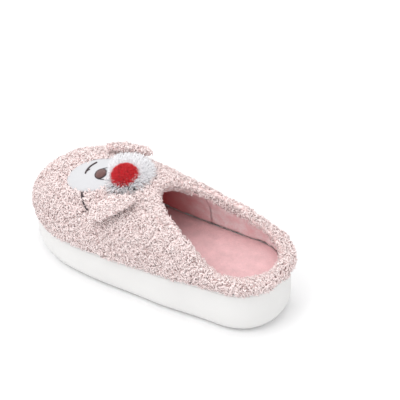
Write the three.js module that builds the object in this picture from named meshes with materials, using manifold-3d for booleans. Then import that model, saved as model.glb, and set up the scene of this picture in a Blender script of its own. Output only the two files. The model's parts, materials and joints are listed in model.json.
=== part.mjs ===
// Plush animal house slipper, left foot. Units are millimetres, +Z is up.
// The origin is on the ground under the middle of the sole, +Y runs to the toe and +X to the medial side.
import * as THREE from 'three';
import { mergeVertices } from 'three/addons/utils/BufferGeometryUtils.js';
import Module from 'manifold-3d';

const wasm = await Module();
wasm.setup();

// Sole
const SOLE_LENGTH = 268;
const FOREFOOT_WIDTH = 106;
const WAIST_WIDTH = 97;
const HEEL_WIDTH = 88;
const TOE_SWING = 13;
const SOLE_HEIGHT_TOE = 27;
const SOLE_HEIGHT_HEEL = 41;
const SOLE_EDGE_RADIUS = 11;
const SOLE_SIDE_SLANT = 2;
const CUP_WALL = 13;
const CUP_DEPTH = 8;
const TREAD_DEPTH = 2;
const TREAD_WIDTH = 4;
const TREAD_PITCH = 13;
const WELT_HEIGHT = 3;
const WELT_WIDTH = 9.5;

// Footbed
const BOARD_THICKNESS = 2;
const FOAM_THICKNESS = 8;
const COVER_THICKNESS = 2;

// Upper
const UPPER_OVERHANG = 2;
const INSTEP_HEIGHT = 98;
const INSTEP_AT = 30;
const HEEL_DOME_HEIGHT = 84;
const ARCH_FULLNESS = 0.85;
const PLUSH_THICKNESS = 7;
const PADDING_THICKNESS = 3;
const LINING_THICKNESS = 1.5;
const FOOTBED_MARGIN = 1.5;
const SIDE_SEAM_AT = -38;
const FACING_DEPTH = 12;
const COLLAR_HEEL_HEIGHT = 54;
const COLLAR_THROAT_DROP = 2;
const COLLAR_THROAT_AT = -8;
const COLLAR_MEDIAL_REACH = 120;
const COLLAR_LATERAL_REACH = 84;
const MOUTH_WIDTH = 66;
const MOUTH_LENGTH = 108;
const MOUTH_CENTRE_X = 1;

// Face. Places on it are (across, down): across to the medial side and down from the eyes to the cherry.
const FACE_X = -20;
const FACE_Y = 53;
const FACE_TURN = 23;
const FACE_SPLIT = 16;
const PATCH_CENTRE = [3, 12];
const PATCH_HALF = [27, 34];
const PATCH_THICKNESS = 1.5;
const MUZZLE_CENTRE = [7.5, 34];
const MUZZLE_HALF = [22, 19.5];
const MUZZLE_DEPTH = 6;
const EYE_SPACING = 30;
const EYE_HALF_WIDTH = 7;
const EYE_SLANT = 4;
const EYE_BOW = 2;
const LASH_LENGTH = 3;
const THREAD_RADIUS = 0.7;
const NOSE_CENTRE = [5, 10];
const NOSE_HALF = [5.5, 4.2];
const NOSE_DEPTH = 2.5;
const CHERRY_CENTRE = [-1, 33];
const CHERRY_DIAMETER = 22;
const CHERRY_DEPTH = 6;
const CHERRY_CLEARANCE = 0.6;
const STEM_LENGTH = 20;
const STEM_RADIUS = 1;

// Ears
const EAR_SPREAD = 55;
const EAR_MIDDLE = [6.5, 27];
const EAR_REACH = 12;
const EAR_WIDTH = 42;
const EAR_LIFT = 2.4;
const EAR_BACK_THICKNESS = 2;
const EAR_FILLING_THICKNESS = 1.5;
const EAR_FRONT_THICKNESS = 3;
const EAR_FILLING_INSET = 3;

const GAP = 0.3;
const HALF_LENGTH = SOLE_LENGTH / 2;
const PADDING_INSET = PLUSH_THICKNESS + GAP;
const LINING_INSET = PADDING_INSET + PADDING_THICKNESS + GAP;
const CAVITY_INSET = LINING_INSET + LINING_THICKNESS;

// ---- Small helpers -------------------------------------------------------------------------------

function clamp(value, low, high) {
  return Math.min(high, Math.max(low, value));
}

function smooth(value) {
  const t = clamp(value, 0, 1);
  return t * t * (3 - 2 * t);
}

function mix(a, b, t) {
  return a + (b - a) * t;
}

function roundEnd(value, power) {
  return Math.pow(Math.max(0, 1 - Math.pow(clamp(value, 0, 1), power)), 1 / power);
}

function toSolid(geometry) {
  const clean = new THREE.BufferGeometry();
  clean.setAttribute('position', geometry.getAttribute('position').clone());
  if (geometry.index) clean.setIndex(geometry.index.clone());
  const merged = mergeVertices(clean, 1e-5);
  const mesh = new wasm.Mesh({
    numProp: 3,
    vertProperties: new Float32Array(merged.getAttribute('position').array),
    triVerts: new Uint32Array(merged.index.array),
  });
  return new wasm.Manifold(mesh);
}

function toGeometry(solid) {
  const mesh = solid.getMesh();
  const geometry = new THREE.BufferGeometry();
  geometry.setAttribute('position', new THREE.BufferAttribute(new Float32Array(mesh.vertProperties), 3));
  geometry.setIndex(new THREE.BufferAttribute(new Uint32Array(mesh.triVerts), 1));
  const flat = geometry.toNonIndexed();
  flat.computeVertexNormals();
  return flat;
}

// Joins equal rings of points into one closed body with fan caps at both ends.
function loft(rings) {
  const count = rings[0].length;
  const points = [];
  const faces = [];
  for (const ring of rings) {
    for (const p of ring) points.push(p.x, p.y, p.z);
  }
  for (let k = 0; k + 1 < rings.length; k += 1) {
    for (let i = 0; i < count; i += 1) {
      const a = k * count + i;
      const b = k * count + (i + 1) % count;
      faces.push(a, b, a + count, b, b + count, a + count);
    }
  }
  for (const [ring, flip] of [[0, true], [rings.length - 1, false]]) {
    const middle = new THREE.Vector3();
    for (const p of rings[ring]) middle.addScaledVector(p, 1 / count);
    const centre = points.length / 3;
    points.push(middle.x, middle.y, middle.z);
    for (let i = 0; i < count; i += 1) {
      const a = ring * count + i;
      const b = ring * count + (i + 1) % count;
      if (flip) faces.push(b, a, centre);
      else faces.push(a, b, centre);
    }
  }
  const geometry = new THREE.BufferGeometry();
  geometry.setAttribute('position', new THREE.Float32BufferAttribute(points, 3));
  geometry.setIndex(faces);
  return toSolid(geometry);
}

// ---- Outline of the sole -------------------------------------------------------------------------

function centreLine(y) {
  const t = (y + HALF_LENGTH) / SOLE_LENGTH;
  return TOE_SWING * smooth((t - 0.3) / 0.8);
}

function halfWidth(y) {
  const t = clamp((y + HALF_LENGTH) / SOLE_LENGTH, 0, 1);
  const back = mix(HEEL_WIDTH, WAIST_WIDTH, smooth((t - 0.16) / 0.26));
  const width = mix(back, FOREFOOT_WIDTH, smooth((t - 0.42) / 0.26));
  const toeTaper = 1 - 0.1 * smooth((t - 0.7) / 0.3);
  const heelEnd = roundEnd((0.155 - t) / 0.155, 2.2);
  const toeEnd = roundEnd((t - 0.76) / 0.24, 1.8);
  return 0.5 * width * toeTaper * heelEnd * toeEnd;
}

function soleTop(y) {
  return mix(SOLE_HEIGHT_HEEL, SOLE_HEIGHT_TOE, (y + HALF_LENGTH) / SOLE_LENGTH);
}

// Closed outline, moved inwards by inset, anticlockwise from the medial side.
function outline(inset, count = 48) {
  const points = [];
  const length = HALF_LENGTH - inset;
  for (let i = 0; i < count; i += 1) {
    const angle = (2 * Math.PI * i) / count;
    const y = length * Math.sin(angle);
    const source = (y * HALF_LENGTH) / length;
    const side = Math.cos(angle) >= 0 ? 1 : -1;
    const scale = (0.5 * FOREFOOT_WIDTH - inset) / (0.5 * FOREFOOT_WIDTH);
    const x = centreLine(source) + side * halfWidth(source) * scale;
    points.push(new THREE.Vector2(x, y));
  }
  return points;
}

function ringAt(inset, height) {
  return outline(inset).map((p) => new THREE.Vector3(p.x, p.y, height(p.y)));
}

// A slab that follows the sole's slope: its faces lie at two heights above or below the sole's top edge.
function footSlab(inset, low, high) {
  return loft([ringAt(inset, (y) => soleTop(y) + low), ringAt(inset, (y) => soleTop(y) + high)]);
}

// ---- Sole ----------------------------------------------------------------------------------------

function makeOutsole() {
  const rings = [];
  for (let i = 0; i <= 4; i += 1) {
    const angle = (i / 4) * 0.5 * Math.PI;
    const inset = SOLE_EDGE_RADIUS * (1 - Math.sin(angle));
    const height = SOLE_EDGE_RADIUS * (1 - Math.cos(angle));
    rings.push(ringAt(inset, () => height));
  }
  rings.push(ringAt(SOLE_SIDE_SLANT, (y) => soleTop(y) - 2));
  rings.push(ringAt(SOLE_SIDE_SLANT + 2, soleTop));
  let body = loft(rings);
  body = body.subtract(footSlab(CUP_WALL, -CUP_DEPTH, 5));
  const rows = Math.floor((0.5 * SOLE_LENGTH - 2.5 * SOLE_EDGE_RADIUS) / TREAD_PITCH);
  for (let row = -rows; row < rows; row += 1) {
    const y = (row + 0.5) * TREAD_PITCH;
    const span = 1.3 * (halfWidth(y) - SOLE_EDGE_RADIUS);
    const bar = new THREE.BoxGeometry(span, TREAD_WIDTH, 2 * TREAD_DEPTH);
    bar.translate(centreLine(y), y, 0);
    body = body.subtract(toSolid(bar));
  }
  return body;
}

function makeWelt() {
  const inset = SOLE_SIDE_SLANT - 1;
  const band = footSlab(inset, GAP, GAP + WELT_HEIGHT);
  return band.subtract(footSlab(inset + WELT_WIDTH, GAP - 1, GAP + WELT_HEIGHT + 1));
}

// ---- Upper ---------------------------------------------------------------------------------------

const UPPER_BASE = GAP + WELT_HEIGHT + GAP;

function crestRise(y) {
  const front = (y - INSTEP_AT) / (HALF_LENGTH - INSTEP_AT);
  const back = (-y - 0.72 * HALF_LENGTH) / (0.28 * HALF_LENGTH);
  const backFall = mix(INSTEP_HEIGHT, HEEL_DOME_HEIGHT, smooth((INSTEP_AT - y) / (HALF_LENGTH + INSTEP_AT)));
  const base = soleTop(y) + UPPER_BASE;
  return (backFall - base) * roundEnd(front, 2) * roundEnd(back, 2.6);
}

// Solid dome over the whole sole, its surface moved inwards by inset from the plush's outside.
function dome(inset, sections = 22, steps = 14) {
  const rings = [];
  const length = HALF_LENGTH + UPPER_OVERHANG - inset;
  const sideScale = (0.5 * FOREFOOT_WIDTH + UPPER_OVERHANG - inset) / (0.5 * FOREFOOT_WIDTH);
  const reference = INSTEP_HEIGHT - SOLE_HEIGHT_TOE;
  const riseScale = (reference - inset) / reference;
  for (let k = 0; k <= sections; k += 1) {
    const y = length * Math.sin((k / sections - 0.5) * Math.PI * 0.985);
    const source = (y * HALF_LENGTH) / length;
    const base = soleTop(y) + UPPER_BASE;
    const half = halfWidth(source) * sideScale;
    const rise = crestRise(source) * riseScale;
    const ring = [];
    for (let i = 0; i <= steps; i += 1) {
      const angle = (i / steps) * Math.PI;
      const cos = Math.cos(angle);
      const x = half * Math.sign(cos) * Math.pow(Math.abs(cos), ARCH_FULLNESS);
      const z = rise * Math.pow(Math.max(0, Math.sin(angle)), ARCH_FULLNESS);
      ring.push(new THREE.Vector3(centreLine(source) + x, y, base + z));
    }
    rings.push(ring.reverse());
  }
  return loft(rings);
}

// Height of the collar's rim at a place along the foot, lower on the lateral side.
function rimHeight(x, y) {
  const reach = mix(COLLAR_LATERAL_REACH, COLLAR_MEDIAL_REACH, smooth((x + 30) / 60));
  const t = (COLLAR_THROAT_AT - y) / reach;
  const fall = Math.pow(smooth(t), 1.3);
  const ahead = Math.max(0, y - COLLAR_THROAT_AT);
  return mix(INSTEP_HEIGHT - COLLAR_THROAT_DROP, COLLAR_HEEL_HEIGHT, fall) + ahead;
}

// Everything above the rim. It cuts the collar down towards the heel.
function mouthCutter() {
  const rings = [];
  const columns = 8;
  const rows = 16;
  for (let k = 0; k <= rows; k += 1) {
    const y = mix(-HALF_LENGTH - 20, COLLAR_THROAT_AT + 30, k / rows);
    const ring = [];
    for (let i = 0; i <= columns; i += 1) {
      const x = mix(-75, 75, i / columns);
      ring.push(new THREE.Vector3(x, y, rimHeight(x, y)));
    }
    ring.push(new THREE.Vector3(75, y, 200), new THREE.Vector3(-75, y, 200));
    rings.push(ring.reverse());
  }
  return loft(rings);
}

// The foot's mouth seen from above, pointed towards the instep and widened all round by grow.
function mouthHole(grow) {
  const ring = [];
  const count = 28;
  const middle = COLLAR_THROAT_AT - MOUTH_LENGTH / 2;
  for (let i = 0; i < count; i += 1) {
    const angle = (2 * Math.PI * i) / count;
    const x = Math.sign(Math.cos(angle)) * Math.pow(Math.abs(Math.cos(angle)), 1.18);
    const y = Math.sign(Math.sin(angle)) * Math.pow(Math.abs(Math.sin(angle)), 1.18);
    ring.push([MOUTH_CENTRE_X + x * (MOUTH_WIDTH / 2 + grow), middle + y * (MOUTH_LENGTH / 2 + grow)]);
  }
  return loft([60, 160].map((z) => ring.map(([x, y]) => new THREE.Vector3(x, y, z))));
}

function halfSpace(low, high) {
  const box = new THREE.BoxGeometry(300, high - low, 400);
  box.translate(0, (low + high) / 2, 100);
  return toSolid(box);
}

// The inner dome reaches below the base so that a layer stays open underneath.
function layer(outer, thickness) {
  const inner = outer + thickness;
  const low = ringAt(inner - UPPER_OVERHANG, (y) => soleTop(y) - 5);
  const high = ringAt(inner - UPPER_OVERHANG, (y) => soleTop(y) + UPPER_BASE + 0.5);
  return dome(outer).subtract(dome(inner)).subtract(loft([low, high]));
}

// ---- Face ----------------------------------------------------------------------------------------

const TURN = THREE.MathUtils.degToRad(FACE_TURN);

function faceToPlan(across, down) {
  return new THREE.Vector2(
    FACE_X + across * Math.cos(TURN) + down * Math.sin(TURN),
    FACE_Y + across * Math.sin(TURN) - down * Math.cos(TURN),
  );
}

// Height of the plush's outer surface over a place on the ground.
function domeHeight(x, y) {
  const source = (y * HALF_LENGTH) / (HALF_LENGTH + UPPER_OVERHANG);
  const half = halfWidth(source) * (1 + UPPER_OVERHANG / (0.5 * FOREFOOT_WIDTH));
  const base = soleTop(y) + UPPER_BASE;
  const rise = crestRise(source);
  const side = Math.min(0.98, Math.abs(x - centreLine(source)) / half);
  const cos = Math.pow(side, 1 / ARCH_FULLNESS);
  return base + rise * Math.pow(Math.sqrt(1 - cos * cos), ARCH_FULLNESS);
}

// A point that stands out from the dome by out, square to its surface.
function onFace(across, down, out) {
  const plan = faceToPlan(across, down);
  const z = domeHeight(plan.x, plan.y);
  const slopeX = domeHeight(plan.x + 1, plan.y) - domeHeight(plan.x - 1, plan.y);
  const slopeY = domeHeight(plan.x, plan.y + 1) - domeHeight(plan.x, plan.y - 1);
  const normal = new THREE.Vector3(-slopeX / 2, -slopeY / 2, 1).normalize();
  return new THREE.Vector3(plan.x, plan.y, z).addScaledVector(normal, out);
}

// An oval pad that lies on the dome. base and rise give its underside and thickness at each place.
function pad(centre, half, base, rise, count = 30, steps = 4) {
  const rings = [];
  const ring = (scale, top) => {
    const points = [];
    for (let i = 0; i < count; i += 1) {
      const angle = (2 * Math.PI * i) / count;
      const across = centre[0] + scale * half[0] * Math.cos(angle);
      const down = centre[1] - scale * half[1] * Math.sin(angle);
      points.push(onFace(across, down, base(across, down) + (top ? rise(scale) : 0)));
    }
    return points;
  };
  for (let k = 1; k <= steps; k += 1) rings.push(ring(k / steps, false));
  for (let k = 0; k < steps; k += 1) rings.push(ring(Math.cos((k / steps) * 0.5 * Math.PI), true));
  return loft(rings);
}

function pillow(depth, edge) {
  return (scale) => edge + (depth - edge) * Math.sqrt(Math.max(0, 1 - scale * scale));
}

// A block that covers the face above or below the line where the smooth patch meets the muzzle.
function faceHalf(low, high) {
  const corners = [[-60, low], [60, low], [60, high], [-60, high]].map(([a, d]) => faceToPlan(a, d));
  const flip = corners.reverse();
  return loft([20, 160].map((z) => flip.map((p) => new THREE.Vector3(p.x, p.y, z))));
}

function makePatch() {
  const body = pad(PATCH_CENTRE, PATCH_HALF, () => GAP, pillow(PATCH_THICKNESS, 1));
  return body.intersect(faceHalf(-60, FACE_SPLIT - GAP));
}

function makeMuzzle() {
  const body = pad(MUZZLE_CENTRE, MUZZLE_HALF, () => GAP, pillow(MUZZLE_DEPTH, 1.5));
  return body.intersect(faceHalf(FACE_SPLIT, 90));
}

function muzzleTop(across, down) {
  const a = (across - MUZZLE_CENTRE[0]) / MUZZLE_HALF[0];
  const d = (down - MUZZLE_CENTRE[1]) / MUZZLE_HALF[1];
  return GAP + pillow(MUZZLE_DEPTH, 1.5)(Math.hypot(a, d));
}

const ON_PATCH = GAP + PATCH_THICKNESS + GAP;

function makeNose() {
  return pad(NOSE_CENTRE, NOSE_HALF, () => ON_PATCH, pillow(NOSE_DEPTH, 1), 20, 3);
}

function makeCherry() {
  const half = [CHERRY_DIAMETER / 2, CHERRY_DIAMETER / 2];
  const base = (across, down) => muzzleTop(across, down) + CHERRY_CLEARANCE;
  return pad(CHERRY_CENTRE, half, base, pillow(CHERRY_DEPTH, 2), 24, 4);
}

// A round thread through places on the face, closed by small round ends.
function thread(places, radius, out, sides = 6) {
  const points = places.map(([across, down]) => onFace(across, down, out(across, down) + radius));
  const curve = new THREE.CatmullRomCurve3(points);
  const segments = 2 * places.length;
  const frames = curve.computeFrenetFrames(segments, false);
  const rings = [];
  for (let k = 0; k <= segments; k += 1) {
    const middle = curve.getPointAt(k / segments);
    const ring = [];
    for (let i = 0; i < sides; i += 1) {
      const angle = (2 * Math.PI * i) / sides;
      const p = middle.clone();
      p.addScaledVector(frames.normals[k], radius * Math.cos(angle));
      p.addScaledVector(frames.binormals[k], radius * Math.sin(angle));
      ring.push(p);
    }
    rings.push(ring);
  }
  return loft(rings);
}

// A closed eye: one arc, its outer end towards the mouth, with a lash near the inner end.
function makeEye(side) {
  const place = (t) => [
    side * (EYE_SPACING / 2 + EYE_HALF_WIDTH * t),
    EYE_SLANT * t - EYE_BOW * (1 - t * t),
  ];
  const arc = [-1, -0.67, -0.33, 0, 0.33, 0.67, 1].map(place);
  const foot = place(-0.55);
  const half = [foot[0] + 0.25 * side * LASH_LENGTH, foot[1] + 0.5 * LASH_LENGTH];
  const tip = [foot[0] + 0.5 * side * LASH_LENGTH, foot[1] + LASH_LENGTH];
  const eye = thread(arc, THREAD_RADIUS, () => ON_PATCH);
  return eye.add(thread([foot, half, tip], THREAD_RADIUS, () => ON_PATCH));
}

function makeMouthLine(side) {
  const places = [[6.8, 8.5], [7.8, 11], [8, 14]].map(([out, down]) => [NOSE_CENTRE[0] + side * out, down]);
  return thread(places, THREAD_RADIUS, () => ON_PATCH);
}

const STEM_BEARING = THREE.MathUtils.degToRad(51);
const STEM_HEADING = THREE.MathUtils.degToRad(12);
const STEM_REACH = CHERRY_DIAMETER / 2 + STEM_RADIUS + 1.5;
const STEM_FOOT = [
  CHERRY_CENTRE[0] - STEM_REACH * Math.sin(STEM_BEARING),
  CHERRY_CENTRE[1] - STEM_REACH * Math.cos(STEM_BEARING),
];

function stemPlaces() {
  const places = [];
  for (let i = 0; i <= 4; i += 1) {
    const along = (STEM_LENGTH * i) / 4;
    const across = STEM_FOOT[0] - along * Math.sin(STEM_HEADING);
    places.push([across, STEM_FOOT[1] + along * Math.cos(STEM_HEADING)]);
  }
  return places;
}

function makeStem() {
  return thread(stemPlaces(), STEM_RADIUS, (across, down) => muzzleTop(across, down) + CHERRY_CLEARANCE);
}

// One layer of an ear, lying on the cheek beyond its root.
function earLayer(side, out, thickness, inset) {
  const root = EAR_MIDDLE[0] + (side * EAR_SPREAD) / 2;
  const centre = [root + (side * EAR_REACH) / 2, EAR_MIDDLE[1]];
  const half = [EAR_REACH / 2 - inset, EAR_WIDTH / 2 - inset];
  return pad(centre, half, () => out, pillow(thickness, 0.7 * thickness), 26, 4);
}

// ---- Assembly ------------------------------------------------------------------------------------

const group = new THREE.Group();
group.name = 'plush_slipper';

function add(name, solid, color, roughness) {
  const material = new THREE.MeshStandardMaterial({ color, roughness, metalness: 0 });
  const mesh = new THREE.Mesh(toGeometry(solid), material);
  mesh.name = name;
  group.add(mesh);
}

const front = halfSpace(SIDE_SEAM_AT + GAP / 2, 200);
const back = halfSpace(-200, SIDE_SEAM_AT - GAP / 2);
const mouth = mouthCutter().add(mouthHole(0));

const WHITE_EVA = 0xf2f1ef;
const PINK_PLUSH = 0xe3d1cf;
const ROSE_LINING = 0xe2a8aa;
const WHITE_CLOTH = 0xeeedf0;
const DARK_THREAD = 0x3a2024;

add('outsole', makeOutsole(), WHITE_EVA, 0.6);
add('welt_strip', makeWelt(), WHITE_EVA, 0.55);

const boardLow = GAP - CUP_DEPTH;
const foamLow = boardLow + BOARD_THICKNESS + GAP;
const coverLow = foamLow + FOAM_THICKNESS + GAP;
const coverInset = CAVITY_INSET - UPPER_OVERHANG + FOOTBED_MARGIN;
add('insole_board', footSlab(CUP_WALL + GAP, boardLow, boardLow + BOARD_THICKNESS), 0xb9a58c, 0.8);
add('footbed_foam', footSlab(CUP_WALL + GAP, foamLow, foamLow + FOAM_THICKNESS), 0xf3efe2, 0.9);
add('footbed_cover', footSlab(coverInset, coverLow, coverLow + COVER_THICKNESS), ROSE_LINING, 0.95);

const plush = layer(0, PLUSH_THICKNESS).subtract(mouth);
add('vamp_plush', plush.intersect(front), PINK_PLUSH, 0.95);
add('heel_collar_plush', plush.intersect(back), PINK_PLUSH, 0.95);

const padding = layer(PADDING_INSET, PADDING_THICKNESS).subtract(mouth);
add('vamp_padding', padding.intersect(front), WHITE_CLOTH, 0.9);
add('heel_collar_padding', padding.intersect(back), WHITE_CLOTH, 0.9);

const lining = layer(LINING_INSET, LINING_THICKNESS);
const linedFront = lining.intersect(front).subtract(mouth);
const facing = mouthHole(FACING_DEPTH);
const seam = mouthHole(FACING_DEPTH + GAP);
add('vamp_lining', linedFront.subtract(seam), ROSE_LINING, 0.95);
add('throat_facing', linedFront.intersect(facing), PINK_PLUSH, 0.95);
add('heel_collar_lining', lining.subtract(mouth).intersect(back), ROSE_LINING, 0.95);

add('face_patch', makePatch(), WHITE_CLOTH, 0.5);
add('muzzle_fluff', makeMuzzle(), WHITE_CLOTH, 0.95);
add('eye_medial', makeEye(1), DARK_THREAD, 0.7);
add('eye_lateral', makeEye(-1), DARK_THREAD, 0.7);
add('nose', makeNose(), 0x774f4b, 0.6);
add('mouth_line_medial', makeMouthLine(1), DARK_THREAD, 0.7);
add('mouth_line_lateral', makeMouthLine(-1), DARK_THREAD, 0.7);
add('cherry', makeCherry(), 0xc5202c, 0.9);
add('cherry_stem', makeStem(), 0x2b1718, 0.8);

const fillingOut = EAR_LIFT + EAR_BACK_THICKNESS + GAP;
const frontOut = fillingOut + EAR_FILLING_THICKNESS + GAP;
for (const [name, side] of [['lateral', -1], ['medial', 1]]) {
  add(`ear_${name}_back`, earLayer(side, EAR_LIFT, EAR_BACK_THICKNESS, 0), PINK_PLUSH, 0.95);
  add(`ear_${name}_filling`, earLayer(side, fillingOut, EAR_FILLING_THICKNESS, EAR_FILLING_INSET), WHITE_CLOTH, 0.9);
  add(`ear_${name}_front`, earLayer(side, frontOut, EAR_FRONT_THICKNESS, 0), PINK_PLUSH, 0.95);
}

export default group;
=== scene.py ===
"""Fluffy house slipper with a sleepy animal face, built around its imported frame.

Run as a script. Lengths in the settings are in metres; +Y runs to the toe and +X to the medial side.
"""
import json
import math
import random

import bpy
import bmesh
import numpy as np
from bpy.props import FloatProperty, FloatVectorProperty, IntProperty, PointerProperty
from mathutils import Matrix, Vector, noise
from mathutils.bvhtree import BVHTree

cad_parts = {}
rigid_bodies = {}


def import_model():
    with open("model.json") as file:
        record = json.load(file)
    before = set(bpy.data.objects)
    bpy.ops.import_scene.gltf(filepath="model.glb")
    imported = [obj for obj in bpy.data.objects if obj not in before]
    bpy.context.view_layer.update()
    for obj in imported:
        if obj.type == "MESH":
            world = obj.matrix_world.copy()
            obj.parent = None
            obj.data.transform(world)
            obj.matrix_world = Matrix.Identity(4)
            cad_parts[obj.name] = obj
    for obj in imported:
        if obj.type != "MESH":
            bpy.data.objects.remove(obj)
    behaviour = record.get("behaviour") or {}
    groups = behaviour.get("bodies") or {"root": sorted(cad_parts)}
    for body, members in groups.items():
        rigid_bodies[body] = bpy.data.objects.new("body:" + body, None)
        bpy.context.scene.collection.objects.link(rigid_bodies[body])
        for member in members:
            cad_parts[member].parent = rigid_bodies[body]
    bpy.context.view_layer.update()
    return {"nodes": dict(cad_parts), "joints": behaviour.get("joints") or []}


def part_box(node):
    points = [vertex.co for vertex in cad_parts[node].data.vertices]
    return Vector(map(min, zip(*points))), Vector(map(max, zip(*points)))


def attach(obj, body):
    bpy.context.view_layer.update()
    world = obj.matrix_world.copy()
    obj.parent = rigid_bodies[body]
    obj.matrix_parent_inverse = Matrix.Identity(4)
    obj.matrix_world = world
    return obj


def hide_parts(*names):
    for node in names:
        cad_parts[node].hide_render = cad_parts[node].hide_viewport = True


bl_info = {
    "name": "Plush Slipper",
    "version": (1, 0, 0),
    "blender": (4, 5, 0),
    "location": "View3D > Sidebar > Slipper",
    "description": "Builds a fluffy house slipper with a sleepy face around its frame",
    "category": "Add Mesh",
}

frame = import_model()
BOXES = {name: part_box(name) for name in frame["nodes"]}
MM = 0.001
PLUSH_NODES = ("vamp_plush", "heel_collar_plush")
LINED_NODES = ("vamp_lining", "heel_collar_lining", "throat_facing")
UPPER_NODES = PLUSH_NODES + ("vamp_padding", "heel_collar_padding") + LINED_NODES
EAR_NODES = tuple(name for name in frame["nodes"] if name.startswith("ear_"))
made = {}
tuft_groups = []


# ---- Settings --------------------------------------------------------------------------------------

def colour(name, text, default):
    return FloatVectorProperty(name=name, description=text, default=default, size=3,
                               subtype="COLOR", min=0.0, max=1.0)


def length(name, text, default):
    return FloatProperty(name=name, description=text, default=default, unit="LENGTH")


class SlipperPileSettings(bpy.types.PropertyGroup):
    tuft_length: length("Tuft length", "Length of one curl of the pink pile", 5.0 * MM)
    tuft_width: length("Tuft width", "Width of one curl at its root", 2.7 * MM)
    tuft_spread: FloatProperty(name="Tufts per mm2", description="Curls on each square millimetre",
                               default=0.80, min=0.0)
    sink: length("Sink", "How far the backing cloth lies under the pile's outside", 2.2 * MM)
    tip_colour: colour("Tips", "Colour of the curls' tips", (0.985, 0.86, 0.845))
    # painted shade: the roots, and the backing under them, are painted darker and pinker than the tips to
    # stand for the shade down between the curls
    shaded_root_colour: colour("Roots", "Colour down between the curls", (0.98, 0.775, 0.76))
    white_length: length("White pile", "Length of the muzzle's white strands", 9.0 * MM)
    white_colour: colour("White", "Colour of the white pile", (0.96, 0.955, 0.975))
    cherry_length: length("Cherry pile", "Length of the cherry's pile", 2.6 * MM)
    seed: IntProperty(name="Seed", description="Seed of everything random", default=7)


class SlipperBodySettings(bpy.types.PropertyGroup):
    forefoot_width: length("Forefoot width", "Widest part of the sole", 106 * MM)
    waist_width: length("Waist width", "Width of the sole under the arch", 97 * MM)
    heel_width: length("Heel width", "Width of the sole at the heel", 88 * MM)
    toe_swing: length("Toe swing", "How far the toe turns to the medial side", 13 * MM)
    edge_radius: length("Edge radius", "Rounding of the sole's bottom edge", 11 * MM)
    cup_wall: length("Cup wall", "Thickness of the wall round the sole's cup", 13 * MM)
    cup_depth: length("Cup depth", "Depth of the cup that holds the footbed", 8 * MM)
    sole_colour: colour("Sole", "Colour of the sole's foam", (0.80, 0.795, 0.785))
    lining_colour: colour("Lining", "Colour of the lining and footbed", (0.86, 0.53, 0.545))


class SlipperFaceSettings(bpy.types.PropertyGroup):
    patch_colour: colour("Patch", "Colour of the smooth face cloth", (0.635, 0.635, 0.655))
    thread_colour: colour("Thread", "Colour of the eyes and mouth lines", (0.045, 0.016, 0.022))
    nose_colour: colour("Nose", "Colour of the nose's satin stitch", (0.20, 0.085, 0.075))
    cherry_colour: colour("Cherry", "Colour of the cherry's pile", (0.74, 0.007, 0.018))
    stem_colour: colour("Stem", "Colour of the cherry's stem", (0.030, 0.010, 0.010))
    thread_radius: length("Thread radius", "Radius of the eyes' thread", 0.85 * MM)


# ---- Small helpers ---------------------------------------------------------------------------------

def clamp(value, low=0.0, high=1.0):
    return max(low, min(high, value))


def mix(a, b, t):
    return a + (b - a) * t


def smoothstep(value):
    t = clamp(value)
    return t * t * (3 - 2 * t)


def link(obj):
    bpy.context.scene.collection.objects.link(obj)
    return obj


def new_mesh(name, verts, faces):
    mesh = bpy.data.meshes.new(name)
    mesh.from_pydata([tuple(v) for v in verts], [], faces)
    mesh.validate()
    mesh.polygons.foreach_set("use_smooth", [True] * len(mesh.polygons))
    mesh.update()
    return mesh


def new_piece(name, verts, faces):
    return link(bpy.data.objects.new(name, new_mesh(name, verts, faces)))


def points_of(mesh):
    co = np.empty(len(mesh.vertices) * 3)
    mesh.vertices.foreach_get("co", co)
    return co.reshape(-1, 3)


def normals_of(mesh):
    no = np.empty(len(mesh.vertices) * 3)
    mesh.vertices.foreach_get("normal", no)
    return no.reshape(-1, 3)


def set_points(mesh, co):
    mesh.vertices.foreach_set("co", np.asarray(co, dtype=float).ravel())
    mesh.update()


def settle(obj):
    """Turns the object's live modifiers into its mesh."""
    view = bpy.context.evaluated_depsgraph_get()
    mesh = bpy.data.meshes.new_from_object(obj.evaluated_get(view))
    old = obj.data
    obj.modifiers.clear()
    obj.data = mesh
    bpy.data.meshes.remove(old)
    mesh.name = obj.name
    return obj


def remeshed(obj, voxel, rounds):
    """Fuses the object's shells into one closed skin and rounds it."""
    remesh = obj.modifiers.new("Fuse", "REMESH")
    remesh.mode = "VOXEL"
    remesh.voxel_size = voxel
    remesh.use_smooth_shade = True
    soften = obj.modifiers.new("Soften", "SMOOTH")
    soften.factor = 0.5
    soften.iterations = rounds
    return settle(obj)


def merged_copy(name, nodes):
    """One object holding merged copies of CAD nodes."""
    shell = bmesh.new()
    for node in nodes:
        shell.from_mesh(frame["nodes"][node].data)
    bmesh.ops.remove_doubles(shell, verts=shell.verts, dist=1e-6)
    mesh = bpy.data.meshes.new(name)
    shell.to_mesh(mesh)
    shell.free()
    return link(bpy.data.objects.new(name, mesh))


def tree_of(objects):
    """A search tree over the faces of some objects."""
    points, faces = [], []
    for obj in objects:
        base = len(points)
        points += [v.co.copy() for v in obj.data.vertices]
        faces += [tuple(i + base for i in p.vertices) for p in obj.data.polygons]
    return BVHTree.FromPolygons(points, faces)


def distance_to(nodes, co):
    """How far each point lies from the nearest of some CAD nodes."""
    tree = tree_of([frame["nodes"][name] for name in nodes])
    return np.array([tree.find_nearest(Vector(p))[3] for p in co])


def store(mesh, name, values, domain="POINT"):
    attribute = mesh.attributes.get(name) or mesh.attributes.new(name, "FLOAT", domain)
    attribute.data.foreach_set("value", np.asarray(values, dtype=np.float32))


def use_material(obj, material):
    obj.data.materials.clear()
    obj.data.materials.append(material)


def finish_piece(obj, body, replaced=()):
    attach(obj, body)
    if replaced:
        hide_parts(*replaced)


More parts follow.
